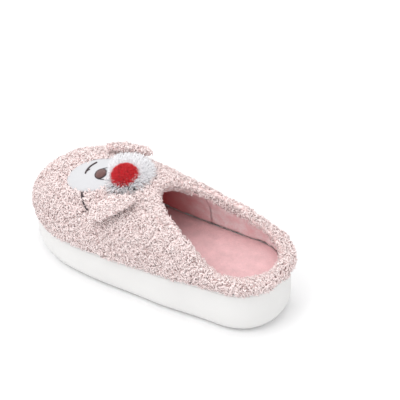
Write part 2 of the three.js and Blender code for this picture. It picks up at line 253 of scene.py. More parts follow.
def loft(name, rings, capped=True):
    """A skin over closed rings of equal count, with fan caps at both ends where it is capped."""
    count = len(rings[0])
    verts = [Vector(p) for ring in rings for p in ring]
    faces = []
    for k in range(len(rings) - 1):
        for i in range(count):
            a, b = k * count + i, k * count + (i + 1) % count
            faces.append((a, b, b + count, a + count))
    for k, flip in ((0, True), (len(rings) - 1, False)) if capped else ():
        ring = [k * count + i for i in range(count)]
        verts.append(sum((verts[i] for i in ring), Vector()) / count)
        centre = len(verts) - 1
        for i in range(count):
            a, b = ring[i], ring[(i + 1) % count]
            faces.append((b, a, centre) if flip else (a, b, centre))
    return new_piece(name, verts, faces)


# ---- Materials -------------------------------------------------------------------------------------

def darker(base, share):
    return [c * share for c in base]


def new_material(name, base, roughness, **sockets):
    material = bpy.data.materials.new(name)
    material.use_nodes = True
    shader = material.node_tree.nodes["Principled BSDF"]
    shader.inputs["Base Color"].default_value = (*base, 1)
    shader.inputs["Roughness"].default_value = roughness
    for socket, value in sockets.items():
        shader.inputs[socket.replace("_", " ")].default_value = value
    return material, material.node_tree, shader


def node(tree, kind, **values):
    made_node = tree.nodes.new(kind)
    for key, value in values.items():
        if hasattr(made_node, key):
            setattr(made_node, key, value)
        else:
            made_node.inputs[key.replace("_", " ")].default_value = value
    return made_node


def object_noise(tree, scale, detail=3.0, roughness=0.55):
    place = tree.nodes.new("ShaderNodeTexCoord")
    grain = node(tree, "ShaderNodeTexNoise", Scale=scale, Detail=detail, Roughness=roughness)
    tree.links.new(place.outputs["Object"], grain.inputs["Vector"])
    return grain


def add_bump(tree, shader, height, strength, distance):
    bump = node(tree, "ShaderNodeBump", Strength=strength, Distance=distance)
    tree.links.new(height, bump.inputs["Height"])
    tree.links.new(bump.outputs["Normal"], shader.inputs["Normal"])


def mixed(tree, factor, low, high):
    blend = tree.nodes.new("ShaderNodeMix")
    blend.data_type = "RGBA"
    tree.links.new(factor, blend.inputs[0])
    for index, value in ((6, low), (7, high)):
        if isinstance(value, bpy.types.NodeSocket):
            tree.links.new(value, blend.inputs[index])
        else:
            blend.inputs[index].default_value = (*value, 1)
    return blend.outputs[2]


def pile_material(name, tip, root, tint, root_end=0.55):
    """Pile cloth: darker at the root of each strand as painted shade down between the strands, lighter at its
    tip, each strand a little different.
    """
    material, tree, shader = new_material(name, tip, 0.9, Sheen_Weight=0.2, Sheen_Roughness=0.5)
    along = node(tree, "ShaderNodeAttribute", attribute_name="tip")
    rise = node(tree, "ShaderNodeMapRange", From_Min=0.0, From_Max=root_end)
    tree.links.new(along.outputs["Fac"], rise.inputs["Value"])
    # painted shade: each strand runs from the darker root colour, standing for the shade between strands, up
    # to its tip colour
    strand = mixed(tree, rise.outputs["Result"], root, tip)
    own = node(tree, "ShaderNodeAttribute", attribute_name="tint")
    spread = node(tree, "ShaderNodeMapRange", To_Min=0.0, To_Max=tint)
    tree.links.new(own.outputs["Fac"], spread.inputs["Value"])
    dulled = mixed(tree, spread.outputs["Result"], strand, [c * s for c, s in zip(tip, (0.98, 0.90, 0.90))])
    patchy = object_noise(tree, 55.0, 2.0)
    cloud = node(tree, "ShaderNodeMapRange", From_Min=0.45, From_Max=0.7, To_Min=0.0, To_Max=0.35)
    tree.links.new(patchy.outputs["Fac"], cloud.inputs["Value"])
    final = mixed(tree, cloud.outputs["Result"], dulled, [mix(a, b, 0.5) for a, b in zip(tip, root)])
    tree.links.new(final, shader.inputs["Base Color"])
    return material


def cloth_material(name, base, dark, scale, bump, roughness=0.9, sheen=0.3):
    material, tree, shader = new_material(name, base, roughness, Sheen_Weight=sheen, Sheen_Roughness=0.4)
    fine = object_noise(tree, scale, 4.0, 0.65)
    broad = object_noise(tree, scale * 0.12, 2.0)
    both = node(tree, "ShaderNodeMath", operation="MULTIPLY")
    tree.links.new(fine.outputs["Fac"], both.inputs[0])
    tree.links.new(broad.outputs["Fac"], both.inputs[1])
    spread = node(tree, "ShaderNodeMapRange", From_Min=0.12, From_Max=0.4)
    tree.links.new(both.outputs[0], spread.inputs["Value"])
    tree.links.new(mixed(tree, spread.outputs["Result"], dark, base), shader.inputs["Base Color"])
    add_bump(tree, shader, fine.outputs["Fac"], 0.7, bump)
    return material


def paint_toe_cavity_shade(material, shade_at_toe, start, end):
    """Paints shade into a cloth: its colour turns deeper red from one place to another along the slipper,
    towards the shaded toe cavity.
    """
    tree = material.node_tree
    shader = tree.nodes["Principled BSDF"]
    paint = shader.inputs["Base Color"].links[0].from_socket
    place = tree.nodes.new("ShaderNodeTexCoord")
    split = tree.nodes.new("ShaderNodeSeparateXYZ")
    tree.links.new(place.outputs["Object"], split.inputs[0])
    along = node(tree, "ShaderNodeMapRange", From_Min=start, From_Max=end)
    tree.links.new(split.outputs["Y"], along.inputs["Value"])
    tree.links.new(mixed(tree, along.outputs["Result"], paint, shade_at_toe), shader.inputs["Base Color"])


def thread_material(name, base, dark, laid=False):
    """Twisted or laid thread: a fine stripe that follows the piece's own UV map."""
    material, tree, shader = new_material(name, base, 0.45, Sheen_Weight=0.2)
    uv = tree.nodes.new("ShaderNodeUVMap")
    uv.uv_map = "thread"
    stripe = node(tree, "ShaderNodeTexWave", Scale=1.0, Distortion=1.5, Detail=1.0)
    stripe.bands_direction = "X" if laid else "DIAGONAL"
    tree.links.new(uv.outputs["UV"], stripe.inputs["Vector"])
    tree.links.new(mixed(tree, stripe.outputs["Fac"], dark, base), shader.inputs["Base Color"])
    add_bump(tree, shader, stripe.outputs["Fac"], 0.5, 0.0003)
    return material


def foam_material(name, base, roughness, grain, strength):
    material, tree, shader = new_material(name, base, roughness, Coat_Weight=0.0)
    fine = object_noise(tree, grain, 3.0)
    broad = object_noise(tree, 30.0, 2.0)
    spread = node(tree, "ShaderNodeMapRange", From_Min=0.3, From_Max=0.75)
    tree.links.new(broad.outputs["Fac"], spread.inputs["Value"])
    worn = mixed(tree, spread.outputs["Result"], base, darker(base, 0.965))
    tree.links.new(worn, shader.inputs["Base Color"])
    add_bump(tree, shader, fine.outputs["Fac"], strength, 0.0002)
    return material


# ---- Pile: tufts and the node tree that plants them -------------------------------------------------

def tuft_mesh(name, size, width, curl, turns, phase, sides=4, steps=5, tip_power=0.7):
    """One tapered curl standing on +Z, with its place from root to tip stored on its points."""
    verts, faces, along = [], [], []
    for k in range(steps):
        s = k / steps
        angle = phase + math.tau * turns * s
        reach = curl * s ** 0.9
        middle = Vector((reach * math.cos(angle) - 0.3 * curl * s * math.cos(phase),
                         reach * math.sin(angle) - 0.3 * curl * s * math.sin(phase),
                         size * s * (1 - 0.12 * s)))
        radius = 0.5 * width * (1 - s) ** tip_power * (0.75 + 0.9 * s * (1 - s))
        for i in range(sides):
            a = math.tau * i / sides + angle * 0.5
            verts.append(middle + Vector((radius * math.cos(a), radius * math.sin(a), 0)))
            along.append(s)
    end = phase + math.tau * turns
    verts.append(Vector((curl * math.cos(end) - 0.3 * curl * math.cos(phase),
                         curl * math.sin(end) - 0.3 * curl * math.sin(phase), size * 0.88)))
    along.append(1.0)
    for k in range(steps - 1):
        for i in range(sides):
            a, b = k * sides + i, k * sides + (i + 1) % sides
            faces.append((a, b, b + sides, a + sides))
    top = (steps - 1) * sides
    for i in range(sides):
        faces.append((top + i, top + (i + 1) % sides, len(verts) - 1))
    faces.append(tuple(reversed(range(sides))))
    mesh = new_mesh(name, verts, faces)
    store(mesh, "tip", along)
    return mesh


def tuft_set(name, variants):
    """A collection of tuft shapes, outside the scene, for the node tree to pick from."""
    group = bpy.data.collections.new(name)
    tuft_groups.append(group)
    for index, mesh in enumerate(variants):
        group.objects.link(bpy.data.objects.new(f"{name}_{index}", mesh))
    return group


def curls(name, size, width, curl, turns=0.85, count=6, **shape):
    picker = random.Random(name)
    return tuft_set(name, [
        tuft_mesh(f"{name}_{i}", size * picker.uniform(0.85, 1.15), width * picker.uniform(0.85, 1.15),
                  curl * picker.uniform(0.8, 1.35), turns * picker.uniform(0.6, 1.3),
                  picker.uniform(0, math.tau), **shape)
        for i in range(count)
    ])


def pile_tree():
    """Plants tufts over a surface: leaning with a swirl, each with its own turn, size and tint."""
    tree = bpy.data.node_groups.get("Plant pile")
    if tree:
        return tree
    tree = bpy.data.node_groups.new("Plant pile", "GeometryNodeTree")
    face = tree.interface
    face.new_socket("Surface", in_out="INPUT", socket_type="NodeSocketGeometry")
    face.new_socket("Pile", in_out="OUTPUT", socket_type="NodeSocketGeometry")
    for label, kind, default in (
        ("Tufts", "NodeSocketCollection", None), ("Density", "NodeSocketFloat", 1.0),
        ("Region", "NodeSocketInt", 0), ("Size Low", "NodeSocketFloat", 0.75),
        ("Size High", "NodeSocketFloat", 1.2), ("Lean", "NodeSocketFloat", 0.8),
        ("Swirl Size", "NodeSocketFloat", 60.0), ("Comb", "NodeSocketVector", (0, 0, 0)),
        ("Seed", "NodeSocketInt", 1), ("Material", "NodeSocketMaterial", None),
    ):
        socket = face.new_socket(label, in_out="INPUT", socket_type=kind)
        if default is not None:
            socket.default_value = default
    given = tree.nodes.new("NodeGroupInput").outputs

    def step(kind, inputs, **settings):
        """Adds a node, sets it up, and feeds its inputs with nodes, sockets or plain values."""
        added = tree.nodes.new(kind)
        for key, value in settings.items():
            setattr(added, key, value)
        for key, value in inputs.items():
            if isinstance(value, bpy.types.Node):
                value = value.outputs[0]
            if isinstance(value, bpy.types.NodeSocket):
                tree.links.new(value, added.inputs[key])
            else:
                added.inputs[key].default_value = value
        return added

    def attribute(label, kind="FLOAT"):
        return step("GeometryNodeInputNamedAttribute", {"Name": label}, data_type=kind).outputs["Attribute"]

    def chance(low, high, salt):
        seed = step("ShaderNodeMath", {0: given["Seed"], 1: salt})
        return step("FunctionNodeRandomValue", {2: low, 3: high, "Seed": seed}).outputs[1]

    def product(first, second):
        return step("ShaderNodeMath", {0: first, 1: second}, operation="MULTIPLY")

    def total(first, second):
        return step("ShaderNodeVectorMath", {0: first, 1: second}, operation="ADD")

    same = step("FunctionNodeCompare", {"Epsilon": 0.1, "A": attribute("region"), "B": given["Region"]},
                data_type="FLOAT", operation="EQUAL")
    scatter = step("GeometryNodeDistributePointsOnFaces", {
        "Mesh": given["Surface"], "Selection": same, "Seed": given["Seed"],
        "Density": product(given["Density"], attribute("pile")),
    }, distribute_method="RANDOM")
    swirl = step("ShaderNodeTexNoise", {"Detail": 2.0, "Scale": given["Swirl Size"]})
    centred = step("ShaderNodeVectorMath", {0: swirl.outputs["Color"], 1: (0.5, 0.5, 0.5)},
                   operation="SUBTRACT")
    jitter = step("FunctionNodeRandomValue",
                  {0: (-0.28, -0.28, -0.28), 1: (0.28, 0.28, 0.28), "Seed": given["Seed"]},
                  data_type="FLOAT_VECTOR")
    leaning = step("ShaderNodeVectorMath", {0: total(centred, jitter), "Scale": given["Lean"]},
                   operation="SCALE")
    flow = total(total(leaning, given["Comb"]), attribute("comb", "FLOAT_VECTOR"))
    aim = step("FunctionNodeAlignRotationToVector", {"Vector": total(scatter.outputs["Normal"], flow)},
               axis="Z")
    spin = step("FunctionNodeAxisAngleToRotation",
                {"Axis": (0, 0, 1), "Angle": chance(0.0, math.tau, 3.0)})
    turned = step("FunctionNodeRotateRotation", {"Rotation": aim, "Rotate By": spin}, rotation_space="LOCAL")
    shapes = step("GeometryNodeCollectionInfo",
                  {"Collection": given["Tufts"], "Separate Children": True, "Reset Children": True})
    which = step("FunctionNodeRandomValue", {4: 0, 5: 30}, data_type="INT")
    size = product(chance(given["Size Low"], given["Size High"], 11.0), attribute("height"))
    planted = step("GeometryNodeInstanceOnPoints", {
        "Points": scatter, "Instance": shapes, "Pick Instance": True, "Instance Index": which.outputs[2],
        "Rotation": turned, "Scale": size,
    })
    tinted = step("GeometryNodeStoreNamedAttribute",
                  {"Geometry": planted, "Name": "tint", "Value": chance(0.0, 1.0, 29.0)},
                  data_type="FLOAT", domain="INSTANCE")
    real = step("GeometryNodeRealizeInstances", {"Geometry": tinted})
    painted = step("GeometryNodeSetMaterial", {"Geometry": real, "Material": given["Material"]})
    step("NodeGroupOutput", {0: painted})
    return tree


def plant(name, surface, tufts, material, region=0, **inputs):
    """Runs the pile tree on a copy of a surface and keeps the strands as a plain mesh."""
    tree = pile_tree()
    holder = link(bpy.data.objects.new(name, surface.data.copy()))
    modifier = holder.modifiers.new("Pile", "NODES")
    modifier.node_group = tree
    values = {"Tufts": tufts, "Material": material, "Region": region,
              "Seed": bpy.context.scene.slipper_pile.seed, **inputs}
    for item in tree.interface.items_tree:
        if item.in_out == "INPUT" and item.name in values:
            modifier[item.identifier] = values[item.name]
    settle(holder)
    for extra in [a.name for a in holder.data.attributes
                  if a.name in ("pile", "region", "height", "comb", "id")]:
        holder.data.attributes.remove(holder.data.attributes[extra])
    return holder


def prepare(surface, pile=None, region=None, height=None, comb=None):
    """Stores what the pile tree reads on a surface's points."""
    count = len(surface.data.vertices)
    store(surface.data, "pile", np.ones(count) if pile is None else pile)
    store(surface.data, "height", np.ones(count) if height is None else height)
    corners = [p.vertices[0] for p in surface.data.polygons]
    store(surface.data, "region", (np.zeros(count) if region is None else region)[corners], "FACE")
    flow = surface.data.attributes.get("comb") or surface.data.attributes.new("comb", "FLOAT_VECTOR", "POINT")
    flow.data.foreach_set("vector", np.zeros(count * 3) if comb is None else np.asarray(comb).ravel())


# ---- Places on the face -----------------------------------------------------------------------------

# Centres and half sizes, across and down from the middle between the eyes
PATCH_CENTRE, PATCH_HALF = (10 * MM, 12 * MM), (20 * MM, 34 * MM)
MUZZLE_CENTRE, MUZZLE_HALF = (7.5 * MM, 34 * MM), (21 * MM, 18.5 * MM)
BARE_PATCH_CENTRE, BARE_PATCH_HALF = (11 * MM, 12 * MM), (18.5 * MM, 33 * MM)
BARE_MUZZLE_HALF = (20 * MM, 17.5 * MM)
BARE_PATCH_END = 17 * MM
MUZZLE_PARTING = (2 * MM, 31 * MM)
PAD_UNDERSIDE = -3 * MM
STITCH_HEIGHT = 2.1 * MM
THREAD_PITCH = 1.2 * MM
THREAD_SLANT = 1.8


def in_oval(across, down, centre, half):
    return ((across - centre[0]) / half[0]) ** 2 + ((down - centre[1]) / half[1]) ** 2 < 1


def face_frame():
    """Middle between the eyes and the plan directions across the face and down it."""
    low = sum(BOXES["eye_lateral"], Vector()) / 2
    high = sum(BOXES["eye_medial"], Vector()) / 2
    across = Vector((high.x - low.x, high.y - low.y)).normalized()
    middle = Vector((low.x + high.x, low.y + high.y)) / 2
    return middle, across, Vector((across.y, -across.x))


def skin():
    """A rounded copy of the upper's outside, to stand things on."""
    if "skin" not in made:
        form = remeshed(merged_copy("upper_form", UPPER_NODES), 2.2 * MM, 12)
        made["skin"] = tree_of([form])
        bpy.data.objects.remove(form)
    return made["skin"]


def height_at(x, y):
    hit = skin().ray_cast(Vector((x, y, 0.3)), Vector((0, 0, -1)))[0]
    if hit is None:
        raise RuntimeError(f"nothing of the upper stands at {x:.4f}, {y:.4f}")
    return hit.z


def on_face(across, down, out):
    """A point over the face, given across and down from between the eyes, standing out square to it."""
    middle, right, below = face_frame()
    spot = middle + right * across + below * down
    step = 3 * MM
    slope_x = (height_at(spot.x + step, spot.y) - height_at(spot.x - step, spot.y)) / (2 * step)
    slope_y = (height_at(spot.x, spot.y + step) - height_at(spot.x, spot.y - step)) / (2 * step)
    normal = Vector((-slope_x, -slope_y, 1)).normalized()
    return Vector((spot.x, spot.y, height_at(spot.x, spot.y))) + normal * out


def face_place(point):
    """Across and down on the face for a point's plan position."""
    middle, right, below = face_frame()
    d = Vector((point[0], point[1])) - middle
    return d.dot(right), d.dot(below)


def tube(name, centres, radius_at, sides=10):
    """A round thread or cord through points, with round ends and a UV map along it."""
    centres = [Vector(c) for c in centres]
    count = len(centres)
    tangents = [(centres[min(i + 1, count - 1)] - centres[max(i - 1, 0)]).normalized() for i in range(count)]
    normal = tangents[0].orthogonal().normalized()
    rings, along, travelled = [], [], 0.0
    for i, (centre, tangent) in enumerate(zip(centres, tangents)):
        normal = (normal - tangent * normal.dot(tangent)).normalized()
        side = tangent.cross(normal)
        if i:
            travelled += (centre - centres[i - 1]).length
        radius = radius_at(i / (count - 1))
        rings.append([centre + (normal * math.cos(a) + side * math.sin(a)) * radius
                      for a in (math.tau * k / sides for k in range(sides))])
        along.append(travelled)
    piece = loft(name, rings)
    layer = piece.data.uv_layers.new(name="thread")
    poles = {count * sides: 0, count * sides + 1: count - 1}
    for loop in piece.data.loops:
        i = loop.vertex_index
        ring, k = (poles[i], 0) if i in poles else divmod(i, sides)
        layer.data[loop.index].uv = (along[ring] / THREAD_PITCH, k / sides * THREAD_SLANT)
    return piece


def rounded_ends(radius, reach=0.06):
    return lambda t: radius * math.sqrt(max(0.03, 1 - clamp((reach - min(t, 1 - t)) / reach) ** 2))


# ---- Stage ------------------------------------------------------------------------------------------

FLOOR_HALF = 6
SKY_STRENGTH = 0.82
LAMPS = (("key", (-0.9, 0.5, 1.6), 11), ("fill", (-0.4, -1.3, 0.9), 1.5), ("top", (0.4, 0.2, 1.8), 9))
LAMP_SIZE = 1.3
LAMP_TARGET = (0.0, 0.0, 0.05)
CAMERA_PLACE = (-0.8014, -0.5263, 0.7729)
CAMERA_TARGET = (0.1125, 0.0184, 0.0)
CAMERA_LENS = 119.8


def area_light(name, place, target, size, power):
    data = bpy.data.lights.new(name, "AREA")
    data.shape = "DISK"
    data.size = size
    data.energy = power
    lamp = link(bpy.data.objects.new(name, data))
    lamp.location = place
    lamp.rotation_euler = (Vector(target) - Vector(place)).to_track_quat("-Z", "Y").to_euler()


class SLIPPER_OT_stage(bpy.types.Operator):
    """Floor, soft studio light and camera."""
    bl_idname = "slipper.stage"
    bl_label = "Stage"

    def execute(self, context):
        corners = [(x * FLOOR_HALF, y * FLOOR_HALF, 0) for x, y in ((-1, -1), (1, -1), (1, 1), (-1, 1))]
        floor = new_piece("floor", corners, [(0, 1, 2, 3)])
        use_material(floor, new_material("pale_floor", (0.93, 0.93, 0.935), 0.8)[0])
        world = bpy.data.worlds.new("studio")
        world.use_nodes = True
        sky = world.node_tree.nodes["Background"]
        sky.inputs["Color"].default_value = (1, 1, 1, 1)
        sky.inputs["Strength"].default_value = SKY_STRENGTH
        context.scene.world = world
        for name, place, power in LAMPS:
            area_light(name, place, LAMP_TARGET, LAMP_SIZE, power)
        camera = link(bpy.data.objects.new("camera", bpy.data.cameras.new("camera")))
        camera.data.sensor_width = 36
        camera.data.lens = CAMERA_LENS
        camera.location = CAMERA_PLACE
        aim = Vector(CAMERA_TARGET) - camera.location
        camera.rotation_euler = aim.to_track_quat("-Z", "Y").to_euler()
        context.scene.camera = camera
        context.scene.view_settings.view_transform = "Standard"
        return {"FINISHED"}


# ---- Sole -------------------------------------------------------------------------------------------

TREAD_PITCH = 13 * MM
TREAD_GROOVE = 4 * MM
TREAD_SHARE = 0.86
TOP_EDGE = 2 * MM
SEAM_LAP = 1.2 * MM
LINING_THICKNESS = 1.4 * MM
BACKING_THICKNESS = 1.0 * MM
# painted shade: the deep red that the lining is painted towards the toe, inside the shaded toe cavity
TOE_CAVITY_SHADE = (0.80, 0.13, 0.14)


def round_end(value, power):
    return max(0.0, 1 - clamp(value) ** power) ** (1 / power)


def sole_ring(inset, height, count=144):
    """Outline of the sole moved inwards by inset, at a height given along its length."""
    body = bpy.context.scene.slipper_body
    low, high = BOXES["outsole"]
    half = (high.y - low.y) / 2
    reach = half - inset
    scale = 1 - inset / (0.5 * body.forefoot_width)
    ring = []
    for i in range(count):
        angle = math.tau * i / count
        y = reach * math.sin(angle)
        t = clamp((y / reach * half + half) / (2 * half))
        back = mix(body.heel_width, body.waist_width, smoothstep((t - 0.16) / 0.26))
        width = mix(back, body.forefoot_width, smoothstep((t - 0.42) / 0.26))
        width *= (1 - 0.1 * smoothstep((t - 0.7) / 0.3)) * round_end((0.155 - t) / 0.155, 2.2)
        width *= round_end((t - 0.76) / 0.24, 1.8)
        side = 1 if math.cos(angle) >= 0 else -1
        x = body.toe_swing * smoothstep((t - 0.3) / 0.8) + side * 0.5 * width * scale
        ring.append(Vector((x, y, height(y))))
    return ring


def sole_top(y):
    """Height of the sole's top edge, sloping from heel to toe as the footbed does."""
    low, high = BOXES["outsole"]
    heel, toe = high.z, BOXES["welt_strip"][0].z - 0.3 * MM
    return mix(heel, toe, (y - low.y) / (high.y - low.y))


class SLIPPER_OT_sole(bpy.types.Operator):
    """Moulded foam sole with its tread, and the thin strip above it."""
    bl_idname = "slipper.sole"
    bl_label = "Sole and strip"

    def execute(self, context):
        body = context.scene.slipper_body
        foam = foam_material("white_foam", body.sole_colour, 0.62, 900.0, 0.15)
        radius = body.edge_radius
        rings = []
        for k in range(13):
            angle = k / 12 * math.pi / 2
            lift = radius * (1 - math.cos(angle))
            rings.append(sole_ring(radius * (1 - math.sin(angle)), lambda y, z=lift: z))
        for share in (0.25, 0.5, 0.75, 0.9):
            bulge = 0.6 * MM * math.sin(share * math.pi)
            rings.append(sole_ring(mix(0, TOP_EDGE, share) - bulge,
                                   lambda y, s=share: mix(radius, sole_top(y) - TOP_EDGE, s)))
        for k in range(5):
            angle = k / 4 * math.pi / 2
            rings.append(sole_ring(TOP_EDGE + TOP_EDGE * (1 - math.cos(angle)),
                                   lambda y, a=angle: sole_top(y) - TOP_EDGE * (1 - math.sin(a))))
        rings.append(sole_ring(body.cup_wall, sole_top))
        rings.append(sole_ring(body.cup_wall + 0.3 * MM, lambda y: sole_top(y) - body.cup_depth))
        sole = loft("outsole_foam", rings)
        cutter = bmesh.new()
        for row in range(-8, 8):
            y = (row + 0.5) * TREAD_PITCH
            edge = [p for p in sole_ring(radius, lambda y: 0) if abs(p.y - y) < 3 * MM]
            span = TREAD_SHARE * (max(p.x for p in edge) - min(p.x for p in edge))
            middle = (max(p.x for p in edge) + min(p.x for p in edge)) / 2
            groove = Matrix.Diagonal((span, TREAD_GROOVE, TREAD_GROOVE, 1))
            place = Matrix.Translation((middle, y, 0)) @ groove
            bmesh.ops.create_cube(cutter, size=1, matrix=place)
        mesh = bpy.data.meshes.new("tread_cutter")
        cutter.to_mesh(mesh)
        cutter.free()
        tool = link(bpy.data.objects.new("tread_cutter", mesh))
        cut = sole.modifiers.new("Tread", "BOOLEAN")
        cut.operation = "DIFFERENCE"
        cut.object = tool
        cut.solver = "EXACT"
        settle(sole)
        bpy.data.objects.remove(tool)
        use_material(sole, foam)
        finish_piece(sole, "slipper", ["outsole"])

        rings = []
        for k in range(16):
            angle = math.tau * k / 16
            rings.append(sole_ring(
                3.2 * MM - 2.2 * MM * math.sin(angle),
                lambda y, a=angle: sole_top(y) + 1.8 * MM - 1.5 * MM * math.cos(a),
            ))
        strip = loft("welt_strip_foam", rings + [rings[0]], capped=False)
        shell = bmesh.new()
        shell.from_mesh(strip.data)
        bmesh.ops.remove_doubles(shell, verts=shell.verts, dist=1e-6)
        bmesh.ops.recalc_face_normals(shell, faces=shell.faces)
        shell.to_mesh(strip.data)
        shell.free()
        use_material(strip, foam_material("strip_foam", body.sole_colour, 0.55, 600.0, 0.1))
        finish_piece(strip, "slipper", ["welt_strip"])
        return {"FINISHED"}


class SLIPPER_OT_footbed(bpy.types.Operator):
    """Pile-covered footbed, and the board and foam that it hides."""
    bl_idname = "slipper.footbed"
    bl_label = "Footbed"

    def execute(self, context):
        body = context.scene.slipper_body
        inset = (BOXES["outsole"][1].y - BOXES["footbed_cover"][1].y) - 2.2 * MM
        base = 2.9 * MM

        def lift(share):
            def at(y):
                sag = 1.6 * MM * smoothstep((share - 0.82) / 0.18)
                ripple = 0.3 * MM * noise.noise(Vector((share * 5, y * 30, 0)))
                return sole_top(y) + 5.0 * MM - sag + ripple * (1 - share)
            return at

        rings = [sole_ring(inset + 3 * MM, lambda y: sole_top(y) + base),
                 sole_ring(inset, lambda y: sole_top(y) + base + 0.8 * MM)]
        outer = sole_ring(inset, lambda y: 0)
        middle = sum(outer, Vector()) / len(outer)
        for k in range(24, 0, -1):
            share = k / 24
            level = lift(share)
            inward = [middle.lerp(p, share) for p in outer]
            rings.append([Vector((p.x, p.y, level(p.y))) for p in inward])
        cover = loft("footbed_cover_pile", rings)
        use_material(cover, cloth_material("footbed_cloth", body.lining_colour,
                                           darker(body.lining_colour, 0.8), 900.0, 1.2 * MM))
        finish_piece(cover, "slipper", ["footbed_cover"])
        inner = frame["nodes"]["footbed_foam"]
        use_material(inner, foam_material("cream_foam", (0.86, 0.82, 0.70), 0.9, 1500.0, 0.6))
        board = frame["nodes"]["insole_board"]
        fibre = cloth_material("fibre_board", (0.45, 0.35, 0.25), (0.36, 0.27, 0.18), 500.0, 0.3 * MM)
        use_material(board, fibre)
        return {"FINISHED"}


# ---- Upper ------------------------------------------------------------------------------------------

def upper_shell():
    """The upper's wall as one rounded skin, and how much nearer each point is to plush than to lining."""
    pile = bpy.context.scene.slipper_pile
    shell = remeshed(merged_copy("upper_shell", UPPER_NODES), 2.0 * MM, 10)
    co = points_of(shell.data)
    no = normals_of(shell.data)
    side = (distance_to(LINED_NODES, co) - distance_to(PLUSH_NODES, co)) / MM
    outer = np.clip((side + 1.0) / 3.0, 0, 1)
    bump = np.array([noise.noise(Vector(p) * 75) + 0.6 * noise.noise(Vector(p) * 150 + Vector((7, 3, 1)))
                     for p in co])
    shift = outer * (-pile.sink + 0.9 * MM * bump)
    set_points(shell.data, co + no * shift[:, None])
    return shell, side


def rim_height(x, y):
    """Height of the opening's edge above the ground, falling from the throat to the low heel collar."""
    reach = mix(84, 120, smoothstep((x / MM + 30) / 60)) * MM
    fall = smoothstep((-8 * MM - y) / reach) ** 1.3
    return mix(96 * MM, 54 * MM, fall) + max(0.0, y + 8 * MM)


def cut_out(shell, keep, name):
    """The faces of a skin whose points are all kept, as their own object."""
    mesh = shell.data
    chosen = [p.index for p in mesh.polygons if all(keep[i] for i in p.vertices)]
    used = sorted({i for f in chosen for i in mesh.polygons[f].vertices})
    index = {v: k for k, v in enumerate(used)}
    return new_piece(name, [mesh.vertices[i].co for i in used],
                     [tuple(index[i] for i in mesh.polygons[f].vertices) for f in chosen])


def thickened(piece, thickness):
    wall = piece.modifiers.new("Cloth", "SOLIDIFY")
    wall.thickness = thickness
    wall.offset = -1
    return settle(piece)


